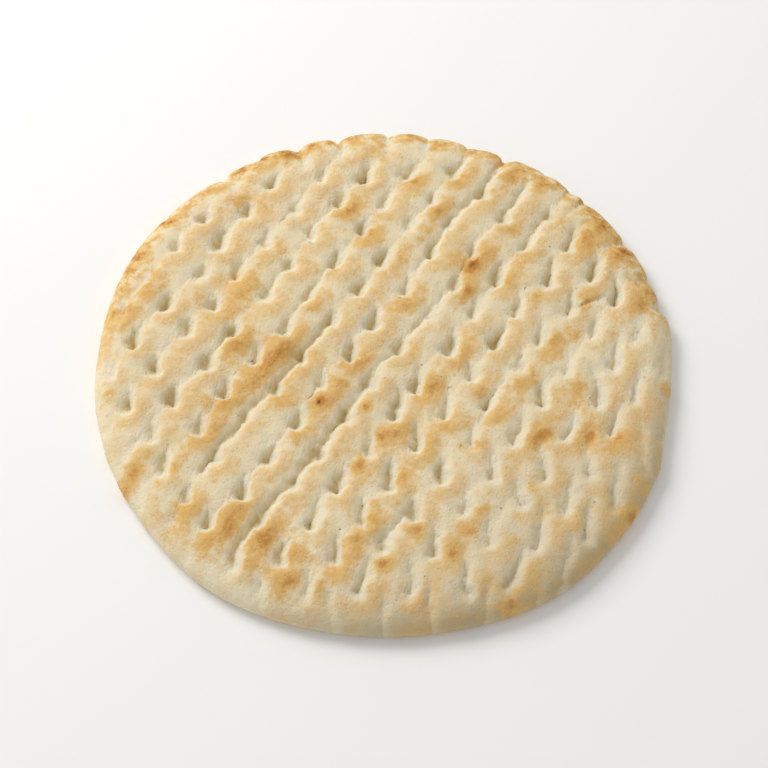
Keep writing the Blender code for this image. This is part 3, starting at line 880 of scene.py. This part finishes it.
def close_foot(tree, skin):
    """A flat underside joined to the skin's open edge."""
    faces = tree.add("GeometryNodeInputMeshEdgeNeighbors")["Face Count"]
    border = tree.add("FunctionNodeCompare", {"data_type": "INT", "operation": "EQUAL"}, {2: faces, 3: 1})
    curve = tree.add("GeometryNodeMeshToCurve", None, {"Mesh": skin, "Selection": border[0]})["Curve"]
    flat = tree.add("GeometryNodeFillCurve", {"mode": "TRIANGLES"}, {"Curve": curve})["Mesh"]
    flat = tree.add("GeometryNodeFlipFaces", None, {"Mesh": flat})["Mesh"]
    flat = store(tree, flat, "turn", math.pi)
    flat = shaded(tree, flat, False)
    both = tree.add("GeometryNodeJoinGeometry", None, {"Geometry": shaded(tree, skin, True)})
    tree.links.new(flat.socket, both.node.inputs["Geometry"])
    sockets = {"Geometry": both["Geometry"], "Distance": 1e-6}
    return tree.add("GeometryNodeMergeByDistance", None, sockets)["Geometry"]


def crust_group():
    """The geometry tree of the whole crust."""
    outline = outline_group()
    tree = Tree(bpy.data.node_groups.new("docked_crust", "GeometryNodeTree"))
    wires = group_inputs(tree, [
        ("Docking Strokes", "NodeSocketObject", None),
        ("Toasted Spots", "NodeSocketObject", None),
        ("Cells", "NodeSocketInt", MESH_CELLS),
        ("Radius", "NodeSocketFloat", CRUST_RADIUS),
        ("Centre Height", "NodeSocketFloat", CENTRE_HEIGHT),
        ("Shoulder Height", "NodeSocketFloat", SHOULDER_HEIGHT),
        ("Waist Height", "NodeSocketFloat", WAIST_HEIGHT),
        ("Roll Width", "NodeSocketFloat", ROLL_WIDTH),
        ("Undercut", "NodeSocketFloat", UNDERCUT),
        ("Mark Depth", "NodeSocketFloat", MARK_DEPTH),
        ("Lump Height", "NodeSocketFloat", LUMP_HEIGHT),
        ("Material", "NodeSocketMaterial", None),
    ])
    wires["Roll Length"] = (wires["Roll Width"] + wires["Shoulder Height"] - wires["Waist Height"]) * (
        0.5 * QUARTER_TURN)
    wires["Under Length"] = (wires["Undercut"] + wires["Waist Height"]) * (0.5 * QUARTER_TURN)
    wires["Skin Length"] = FLAT_LENGTH + wires["Roll Length"] + wires["Under Length"]
    strokes = tree.add("GeometryNodeObjectInfo", None, {"Object": wires["Docking Strokes"]})["Geometry"]
    spots = tree.add("GeometryNodeObjectInfo", None, {"Object": wires["Toasted Spots"]})["Geometry"]
    stroke_sizes = tree.add("GeometryNodeAttributeDomainSize", {"component": "MESH"}, {"Geometry": strokes})
    spot_sizes = tree.add("GeometryNodeAttributeDomainSize", {"component": "MESH"}, {"Geometry": spots})
    disc = spread_grid(tree, wires, outline)
    disc = gather_points(tree, disc, strokes, wires)
    loaf = bend_over(tree, disc, outline, wires)
    loaf = store(tree, loaf, "plan", wandered(tree, place_of(tree)), "FLOAT_VECTOR")
    loaf = press_strokes(tree, loaf, strokes, stroke_sizes["Edge Count"])
    loaf = toast_spots(tree, loaf, spots, spot_sizes["Point Count"])
    skin = shape_skin(tree, loaf, outline, wires)
    whole = close_foot(tree, skin)
    whole = tree.add("GeometryNodeRealizeInstances", None, {"Geometry": whole})["Geometry"]
    sockets = {"Geometry": whole, "Material": wires["Material"]}
    whole = tree.add("GeometryNodeSetMaterial", None, sockets)["Geometry"]
    group_output(tree, "NodeSocketGeometry", whole)
    return tree.group


# ---------------------------------------------------------------- materials


def new_material(name, roughness, subsurface):
    """A material with its tree and the constants set on its shader."""
    material = bpy.data.materials.new(name)
    material.use_nodes = True
    shader = material.node_tree.nodes["Principled BSDF"]
    shader.inputs["Roughness"].default_value = roughness
    shader.inputs["Specular IOR Level"].default_value = SPECULAR
    shader.inputs["Subsurface Weight"].default_value = subsurface
    shader.inputs["Subsurface Radius"].default_value = LIGHT_REACH_COLOUR
    shader.inputs["Subsurface Scale"].default_value = LIGHT_REACH
    return material, Tree(material.node_tree), shader


def attribute(tree, name):
    """A number stored on the mesh."""
    settings = {"attribute_type": "GEOMETRY", "attribute_name": name}
    return tree.add("ShaderNodeAttribute", settings)["Fac"]


def toward(tree, place, heading):
    """1 at the rim in one direction, 0 at the opposite rim."""
    x, y, _ = tree.split(place)
    return tree.clamped(0.5 + (x * heading[0] + y * heading[1]) * (0.5 / CRUST_RADIUS))


class Skin:
    """What the dough's looks are worked out from: stored numbers, directions and noises."""

    def __init__(self, tree):
        self.place = tree.add("ShaderNodeTexCoord")["Object"]
        self.pressed = attribute(tree, "pressed")
        self.lip = attribute(tree, "lip")
        self.lit = attribute(tree, "lit")
        self.toast = attribute(tree, "toast")
        self.warmth = attribute(tree, "warmth")
        self.turn = attribute(tree, "turn")
        self.patch = tree.noise(self.place, PATCH_SCALE, 2.0, 0.5)[0]
        self.blotch = tree.noise(self.place, BLOTCH_SCALE, 4.0, 0.66)[0]
        self.mottle = tree.noise(self.place, MOTTLE_SCALE, 3.0, 0.7)[0]
        self.fine = tree.noise(self.place, FINE_SCALE, 2.0, 0.6)[0]
        self.streaks = tree.noise(drawn_out(tree, self.place, STREAK_SCALES), 1.0, 2.0, 0.5)[0]
        self.creased = tree.smooth_step(0.10, 0.35, self.pressed)
        self.crest = 1.0 - tree.smooth_step(0.04, 0.48, self.pressed)
        self.back = toward(tree, self.place, BACK_LEFT)
        self.front_right = toward(tree, self.place, FRONT_RIGHT)


def pillow_browning(tree, skin):
    """Gold on the pillows, most at the lips beside the marks and towards the back."""
    rolled = tree.smooth_step(*ROLLED_TURN, skin.turn)
    lip = skin.lip * (0.24 - 0.04 * skin.front_right)
    golden = skin.patch * 0.49 + skin.blotch * 0.42 + lip + skin.back * 0.07
    golden = skin.crest * tree.smooth_step(0.415, 0.705, golden)
    golden = golden * (1.0 - 0.6 * rolled * (1.0 - skin.back))
    return golden * (0.35 + 1.3 * skin.mottle)


def halo_browning(tree, skin):
    """Soft gold round the toasted spots."""
    halo = tree.smooth_step(0.05, 0.75, skin.warmth + 1.3 * (skin.blotch - 0.5))
    return halo * (0.4 + 0.6 * skin.crest) * (0.6 + 0.8 * skin.mottle)


def rim_browning(tree, skin):
    """Brown on the rolled edge: strong and ragged at the back, faint at the front right."""
    _, y, _ = tree.split(skin.place)
    rim = tree.smooth_step(*RIM_TURN, skin.turn) * (1.0 - tree.smooth_step(*WAIST_TURN, skin.turn))
    behind = tree.smooth_step(-0.1, 0.5, y / CRUST_RADIUS) * tree.smooth_step(0.30, 0.72, skin.blotch)
    ahead = tree.smooth_step(0.60, 1.0, skin.front_right) * tree.smooth_step(0.1, 0.7, skin.turn)
    faint = tree.smooth_step(0.30, 0.70, skin.blotch * 0.4 + skin.patch * 0.6)
    return rim * behind + 0.24 * ahead * faint


def spot_browning(tree, skin):
    """The toasted spots, with ragged edges, fainter down in the marks."""
    ragged = skin.toast + 1.3 * (skin.blotch - 0.5) + 0.8 * (skin.mottle - 0.5)
    spots = tree.smooth_step(0.10, 1.10, ragged) * tree.smooth_step(0.03, 0.25, skin.toast)
    return spots * (0.35 + 0.65 * skin.toast) * (0.60 + 0.40 * skin.crest)


def whole_bake(tree, skin):
    """How brown the skin is."""
    bake = pillow_browning(tree, skin) * PILLOW_BAKE + halo_browning(tree, skin) * HALO_BAKE
    bake = bake + rim_browning(tree, skin) * RIM_BAKE + spot_browning(tree, skin) * SPOT_BAKE
    return bake + FINE_BAKE * (skin.fine - 0.5)


def floury_lit_dough(tree, skin, crust):
    """Unbrowned dough, paler at the front, with floury streaks beside the marks, a painted highlight on the
    walls that face the lamp, and dry patches.
    """
    _, y, _ = tree.split(skin.place)
    pale = tree.smooth_step(0.34, 0.66, 0.55 * skin.blotch + 0.45 * skin.patch)
    dough = tree.mix_colour(pale, crust.dough, crust.pale_dough)
    front = tree.smooth_step(0.15, 0.95, y / -CRUST_RADIUS)
    dough = tree.mix_colour(0.45 * front, dough, crust.pale_dough)
    # Floury streaks, plus a painted highlight where the wall faces the lamp
    flour_and_highlight = skin.creased * (0.56 * skin.lit + 0.02 + 0.9 * (skin.streaks - 0.5))
    dough = tree.mix_colour(tree.clamped(flour_and_highlight), dough, crust.flour)
    dry = tree.smooth_step(0.53, 0.66, tree.noise(skin.place, DRY_SCALE, 4.0, 0.7)[0])
    dry = dry * tree.smooth_step(0.02, 0.2, skin.pressed)
    dry = dry * tree.smooth_step(0.35, 0.65, skin.streaks * 0.5 + skin.fine * 0.5)
    return tree.mix_colour(dry, dough, crust.flour)


def shaded_dough(tree, skin, crust, dough):
    """The dough with painted shade: darker down in the marks, least on the walls that face the lamp, and
    duller at the front right, the side turned away from the lamp.
    """
    # Painted shade in the marks: the deeper the press the darker, and less where the wall faces the lamp
    painted_hollow_shade = tree.smooth_step(0.20, 0.95, skin.pressed) * (0.85 - 0.6 * skin.lit)
    dough = tree.mix_colour(painted_hollow_shade, dough, crust.painted_hollow_shade)
    # Painted shade on the front right, the side away from the lamp, strongest on the rolled edge
    painted_front_shade = tree.smooth_step(0.2, 1.2, skin.turn) * (0.3 + 0.5 * skin.blotch) + 0.48
    painted_front_shade = painted_front_shade * tree.smooth_step(0.70, 1.0, skin.front_right) * (1.0 - 0.5 * skin.lit)
    return tree.mix_colour(painted_front_shade, dough, crust.shaded)


def baked_colour(tree, crust, dough, bake):
    """The dough, browned through gold and toast to char."""
    colour = tree.mix_colour(tree.smooth_step(*GOLDEN_BAKE, bake), dough, crust.golden)
    colour = tree.mix_colour(tree.smooth_step(*TOASTED_BAKE, bake), colour, crust.toasted)
    return tree.mix_colour(tree.smooth_step(*CHAR_BAKE, bake), colour, crust.char)


def underside_colour(tree, skin, crust):
    """The flat underside: pale, with gold and light brown patches."""
    gold = tree.smooth_step(0.35, 0.65, skin.patch * 0.5 + skin.blotch * 0.5)
    underside = tree.mix_colour(gold, crust.dough, crust.golden)
    brown = tree.smooth_step(0.52, 0.72, skin.patch * 0.6 + skin.blotch * 0.4) * 0.45
    return tree.mix_colour(brown, underside, crust.toasted)


def speckled(tree, skin, crust, colour):
    """The skin with its dark bran specks, one in a few cells, and its fine pale speckle."""
    cells = tree.add("ShaderNodeTexVoronoi", {"feature": "F1"}, {"Vector": skin.place, "Scale": BRAN_SCALE})
    chosen, _, _ = tree.split(cells["Color"])
    bran = 1.0 - tree.smooth_step(0.03, 0.07, cells["Distance"])
    bran = bran * tree.math("GREATER_THAN", chosen, 0.80)
    colour = tree.mix_colour(bran * 0.75, colour, crust.bran)
    return tree.mix_colour(tree.smooth_step(0.60, 0.78, skin.fine) * 0.18, colour, crust.pale_dough)


def skin_normal(tree, skin):
    """The normal with the powdery grain, pores and streaks that are too fine for the mesh."""
    pores = tree.add("ShaderNodeTexVoronoi", {"feature": "F1"}, {"Vector": skin.place, "Scale": PORE_SCALE})
    pits = 1.0 - tree.smooth_step(0.0, 0.45, pores["Distance"])
    relief = tree.noise(skin.place, POWDER_SCALE, 3.0, 0.65)[0] + 0.8 * skin.mottle - 0.45 * pits
    relief = relief + skin.streaks * skin.creased * 1.6
    sockets = {"Strength": 0.9, "Distance": BUMP_HEIGHT, "Height": relief}
    return tree.add("ShaderNodeBump", None, sockets)["Normal"]


def dough_material(crust):
    """Baked dough: cream in the marks, golden on the pillows, toasted in spots."""
    material, tree, shader = new_material("baked_dough", 0.8, 0.30)
    skin = Skin(tree)
    bake = whole_bake(tree, skin)
    dough = shaded_dough(tree, skin, crust, floury_lit_dough(tree, skin, crust))
    colour = baked_colour(tree, crust, dough, bake)
    under = tree.smooth_step(*UNDER_TURN, skin.turn)
    colour = tree.mix_colour(under, colour, underside_colour(tree, skin, crust))
    tree.plug(shader.inputs["Base Color"], speckled(tree, skin, crust, colour))
    tree.plug(shader.inputs["Roughness"], 0.88 - 0.22 * bake + 0.10 * (skin.fine - 0.5))
    tree.plug(shader.inputs["Normal"], skin_normal(tree, skin))
    return material


def flake_material(name, pale):
    """Dry pale dough or flour, a little darker in patches."""
    material, tree, shader = new_material(name, 0.9, 0.10)
    place = tree.add("ShaderNodeTexCoord")["Object"]
    mottle = tree.noise(place, 900.0, 2.0)[0]
    colour = tree.mix_colour(tree.smooth_step(0.35, 0.7, mottle) * 0.5, pale, (0.80, 0.70, 0.50, 1.0))
    tree.plug(shader.inputs["Base Color"], colour)
    sockets = {"Strength": 0.5, "Distance": 0.0001, "Height": mottle}
    tree.plug(shader.inputs["Normal"], tree.add("ShaderNodeBump", None, sockets)["Normal"])
    return material


# ---------------------------------------------------------------- flour and flakes


def add_flake(mesh, crust, place, heading, length):
    """A curled, lumpy bit of dough lying on the crust."""
    lumps = bmesh.ops.create_icosphere(mesh, subdivisions=4, radius=1.0)["verts"]
    _, ground, _, _ = crust.ray_cast((place.x, place.y, THICKNESS * 2.0), (0.0, 0.0, -1.0))
    turn = Matrix.Rotation(heading, 3, "Z")
    for vert in lumps:
        round_place = vert.co * (1.0 + 0.5 * noise.noise(vert.co * 1.6 + 100.0 * ground))
        round_place = round_place + 0.10 * noise.noise_vector(vert.co * 6.0)
        width = FLAKE_WIDTH * (1.0 + 0.5 * noise.noise(Vector((2.0 * vert.co.x, length * 1000.0, 0.0))))
        rise = FLAKE_THICKNESS * (1.0 + round_place.z) + FLAKE_CURL * round_place.x ** 2
        along = 0.5 * length * round_place.x
        vert.co = ground + turn @ Vector((along, 0.5 * length * width * round_place.y, 0.5 * length * rise))


def make_flakes(name, crust, material):
    """Every loose bit of dough, as one piece."""
    mesh = bmesh.new()
    for step, row, heading, length in DOUGH_FLAKES:
        add_flake(mesh, crust, lattice_place(step, row), math.radians(heading), length)
    data = bpy.data.meshes.new(name)
    mesh.to_mesh(data)
    mesh.free()
    data.shade_smooth()
    data.materials.append(material)
    flakes = bpy.data.objects.new(name, data)
    bpy.context.scene.collection.objects.link(flakes)
    return flakes


def flour_group():
    """The geometry tree of the flour: small clumps scattered over the top of the crust."""
    tree = Tree(bpy.data.node_groups.new("flour_dust", "GeometryNodeTree"))
    wires = group_inputs(tree, [
        ("Crust", "NodeSocketObject", None),
        ("Density", "NodeSocketFloat", FLOUR_DENSITY),
        ("Grain Radius", "NodeSocketFloat", GRAIN_RADIUS),
        ("Seed", "NodeSocketInt", SEED),
        ("Material", "NodeSocketMaterial", None),
    ])
    crust = tree.add("GeometryNodeObjectInfo", None, {"Object": wires["Crust"]})["Geometry"]
    _, _, up = tree.split(tree.add("GeometryNodeInputNormal")["Normal"])
    facing_up = tree.math("GREATER_THAN", up, 0.5)
    sockets = {"Mesh": crust, "Selection": facing_up, "Density": wires["Density"], "Seed": wires["Seed"]}
    points = tree.add("GeometryNodeDistributePointsOnFaces", {"distribute_method": "RANDOM"}, sockets)
    sockets = {"Radius": wires["Grain Radius"], "Subdivisions": 1}
    grain = tree.add("GeometryNodeMeshIcoSphere", None, sockets)
    size = tree.add("FunctionNodeRandomValue", {"data_type": "FLOAT_VECTOR"},
                    {0: (0.5, 0.5, 0.35), 1: (1.5, 1.2, 0.8), "Seed": wires["Seed"]})
    sockets = {"Points": points["Points"], "Instance": grain["Mesh"], "Rotation": points["Rotation"],
               "Scale": size[0]}
    grains = tree.add("GeometryNodeInstanceOnPoints", None, sockets)["Instances"]
    grains = tree.add("GeometryNodeRealizeInstances", None, {"Geometry": grains})["Geometry"]
    sockets = {"Geometry": grains, "Material": wires["Material"]}
    grains = tree.add("GeometryNodeSetMaterial", None, sockets)["Geometry"]
    group_output(tree, "NodeSocketGeometry", grains)
    return tree.group


def finish_piece(piece):
    """A finished piece rides on the crust."""
    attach(piece, "root")


# ---------------------------------------------------------------- the stage


def make_floor(colour):
    """A wide pale floor under the crust."""
    mesh = bmesh.new()
    bmesh.ops.create_grid(mesh, x_segments=1, y_segments=1, size=FLOOR_HALF_WIDTH)
    data = bpy.data.meshes.new("floor")
    mesh.to_mesh(data)
    mesh.free()
    floor = bpy.data.objects.new("floor", data)
    floor.location.z = FLOOR_HEIGHT
    bpy.context.scene.collection.objects.link(floor)
    material = bpy.data.materials.new("pale_floor")
    material.use_nodes = True
    tree = Tree(material.node_tree)
    shader = material.node_tree.nodes["Principled BSDF"]
    place = tree.add("ShaderNodeTexCoord")["Object"]
    shade = tree.noise(place, 3.0)[0] * 0.02
    tree.plug(shader.inputs["Base Color"], tree.mix_colour(shade, colour, (1.0, 1.0, 1.0, 1.0)))
    shader.inputs["Roughness"].default_value = 0.9
    data.materials.append(material)


def make_lamp(power):
    """A soft square lamp on the far left, aimed at the crust."""
    light = bpy.data.lights.new("key_lamp", "AREA")
    light.size = KEY_SIZE
    light.energy = power
    light.color = KEY_COLOUR
    lamp = bpy.data.objects.new("key_lamp", light)
    flat = math.cos(KEY_ELEVATION) * KEY_DISTANCE
    height = math.sin(KEY_ELEVATION) * KEY_DISTANCE
    lamp.location = (math.cos(KEY_AZIMUTH) * flat, math.sin(KEY_AZIMUTH) * flat, height)
    lamp.rotation_euler = (-lamp.location).to_track_quat("-Z", "Y").to_euler()
    bpy.context.scene.collection.objects.link(lamp)


def make_camera():
    """The camera in front of the crust, looking down at it."""
    camera = bpy.data.objects.new("camera", bpy.data.cameras.new("camera"))
    camera.data.lens = CAMERA_LENS
    camera.data.clip_start = 0.01
    back = Vector((0.0, -math.cos(CAMERA_ELEVATION), math.sin(CAMERA_ELEVATION)))
    camera.location = CAMERA_TARGET + CAMERA_DISTANCE * back
    camera.rotation_euler = (-back).to_track_quat("-Z", "Y").to_euler()
    bpy.context.scene.collection.objects.link(camera)
    bpy.context.scene.camera = camera


def make_world(strength):
    """Even white light from all sides."""
    world = bpy.data.worlds.new("studio")
    world.use_nodes = True
    background = world.node_tree.nodes["Background"]
    background.inputs["Color"].default_value = (1.0, 1.0, 1.0, 1.0)
    background.inputs["Strength"].default_value = strength
    bpy.context.scene.world = world


# ---------------------------------------------------------------- settings, operators and panel


def colour_property(name, description, default):
    """A colour that a user may change."""
    return bpy.props.FloatVectorProperty(name=name, description=description, subtype="COLOR",
                                         size=4, min=0.0, max=1.0, default=default)


class CrustSettings(bpy.types.PropertyGroup):
    """Sizes and colours of the crust."""

    cells: bpy.props.IntProperty(
        name="Mesh Cells", description="Cells along each side of the skin's grid",
        default=MESH_CELLS, min=8)
    lump_height: bpy.props.FloatProperty(
        name="Lump Height", description="Height of the lumps of the skin", default=LUMP_HEIGHT,
        unit="LENGTH", precision=5)
    dough: colour_property("Dough", "Plain baked dough", (0.82, 0.70, 0.46, 1.0))
    pale_dough: colour_property("Pale Dough", "Dough that stayed pale", (0.91, 0.82, 0.61, 1.0))
    # Hollow: painted shade for the bottom of the marks, where the dough lies in shadow
    painted_hollow_shade: colour_property("Hollow", "Dough at the bottom of the marks", (0.62, 0.46, 0.18, 1.0))
    # Shaded: painted shade for the front right and its rolled edge, the side away from the lamp
    shaded: colour_property("Shaded", "Duller skin of the firm side", (0.55, 0.44, 0.26, 1.0))
    golden: colour_property("Golden", "Golden ridges", (0.76, 0.49, 0.18, 1.0))
    toasted: colour_property("Toasted", "Toasted spots", (0.56, 0.25, 0.048, 1.0))
    char: colour_property("Char", "The darkest spots", (0.17, 0.055, 0.018, 1.0))
    bran: colour_property("Bran", "Specks of bran", (0.22, 0.13, 0.07, 1.0))
    # Flour: floury skin, also used as the painted highlight on the walls that face the lamp
    flour: colour_property("Flour", "Floury skin beside the marks", (0.77, 0.735, 0.65, 1.0))
    flake: colour_property("Flake", "Loose flour and dry flakes", (0.90, 0.86, 0.77, 1.0))


class FlourSettings(bpy.types.PropertyGroup):
    """Flour on the crust."""

    density: bpy.props.FloatProperty(
        name="Density", description="Flour grains for each square metre",
        default=FLOUR_DENSITY, min=0.0)
    grain_radius: bpy.props.FloatProperty(
        name="Grain Radius", description="Radius of a grain of flour", default=GRAIN_RADIUS,
        unit="LENGTH", precision=5)


class StageSettings(bpy.types.PropertyGroup):
    """Floor and light."""

    floor: colour_property("Floor", "Colour of the floor", (0.955, 0.955, 0.955, 1.0))
    key_power: bpy.props.FloatProperty(
        name="Key Light", description="Power of the main lamp", default=10.7, unit="POWER")
    world_light: bpy.props.FloatProperty(
        name="World Light", description="Strength of the even light", default=0.55)


class CRUST_OT_crust(bpy.types.Operator):
    """Build the dressed crust in place of the plain solid"""

    bl_idname = "pizza_crust.make_crust"
    bl_label = "Make Crust"

    def execute(self, context):
        settings = context.scene.crust_settings
        marks = docking_marks(random.Random(SEED))
        strokes = slit_strokes(marks) + crease_strokes(marks) + valley_strokes(marks)
        strokes = stroke_helper(strokes + notch_strokes() + fold_strokes())
        spots = spot_helper()
        values = {
            "Docking Strokes": strokes,
            "Toasted Spots": spots,
            "Cells": settings.cells,
            "Lump Height": settings.lump_height,
            "Material": dough_material(settings),
        }
        piece = grown_mesh("baked_crust", crust_group(), values)
        if not piece.data.polygons:
            raise RuntimeError("the crust has no faces")
        bpy.data.objects.remove(strokes)
        bpy.data.objects.remove(spots)
        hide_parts("crust")
        finish_piece(piece)
        return {"FINISHED"}


class CRUST_OT_flakes(bpy.types.Operator):
    """Lay a few loose bits of dough on the crust"""

    bl_idname = "pizza_crust.make_flakes"
    bl_label = "Make Flakes"

    def execute(self, context):
        crust = bpy.data.objects["baked_crust"]
        material = flake_material("dry_flake", context.scene.crust_settings.flake)
        piece = make_flakes("dough_flakes", crust, material)
        if not piece.data.polygons:
            raise RuntimeError("the flakes have no faces")
        finish_piece(piece)
        return {"FINISHED"}


class CRUST_OT_flour(bpy.types.Operator):
    """Dust the crust with a little flour"""

    bl_idname = "pizza_crust.make_flour"
    bl_label = "Make Flour"

    def execute(self, context):
        settings = context.scene.flour_settings
        values = {
            "Crust": bpy.data.objects["baked_crust"],
            "Density": settings.density,
            "Grain Radius": settings.grain_radius,
            "Material": flake_material("flour_grain", context.scene.crust_settings.flake),
        }
        piece = grown_mesh("flour_dust", flour_group(), values)
        if not piece.data.polygons:
            raise RuntimeError("no flour landed on the crust")
        finish_piece(piece)
        return {"FINISHED"}


class CRUST_OT_stage(bpy.types.Operator):
    """Build the floor, the lights and the camera"""

    bl_idname = "pizza_crust.make_stage"
    bl_label = "Make Stage"

    def execute(self, context):
        settings = context.scene.stage_settings
        make_floor(tuple(settings.floor))
        make_world(settings.world_light)
        make_lamp(settings.key_power)
        make_camera()
        context.scene.view_settings.view_transform = "Standard"
        return {"FINISHED"}


class CRUST_PT_panel(bpy.types.Panel):
    """Lists the steps that build the crust"""

    bl_idname = "CRUST_PT_panel"
    bl_label = "Pizza Crust"
    bl_space_type = "VIEW_3D"
    bl_region_type = "UI"
    bl_category = "Crust"

    def draw(self, context):
        for operator in OPERATORS:
            self.layout.operator(operator.bl_idname)


SETTINGS = {
    "crust_settings": CrustSettings,
    "flour_settings": FlourSettings,
    "stage_settings": StageSettings,
}
OPERATORS = (CRUST_OT_crust, CRUST_OT_flakes, CRUST_OT_flour, CRUST_OT_stage)


def register():
    """Register the settings, the operators and the panel."""
    for name, settings in SETTINGS.items():
        bpy.utils.register_class(settings)
        setattr(bpy.types.Scene, name, bpy.props.PointerProperty(type=settings))
    for shown in (*OPERATORS, CRUST_PT_panel):
        bpy.utils.register_class(shown)


def unregister():
    """Undo register."""
    for shown in (CRUST_PT_panel, *reversed(OPERATORS)):
        bpy.utils.unregister_class(shown)
    for name, settings in SETTINGS.items():
        delattr(bpy.types.Scene, name)
        bpy.utils.unregister_class(settings)


def main():
    """Build everything in order."""
    register()
    bpy.ops.pizza_crust.make_crust()
    bpy.ops.pizza_crust.make_flakes()
    bpy.ops.pizza_crust.make_flour()
    bpy.ops.pizza_crust.make_stage()


if __name__ == "__main__":
    main()
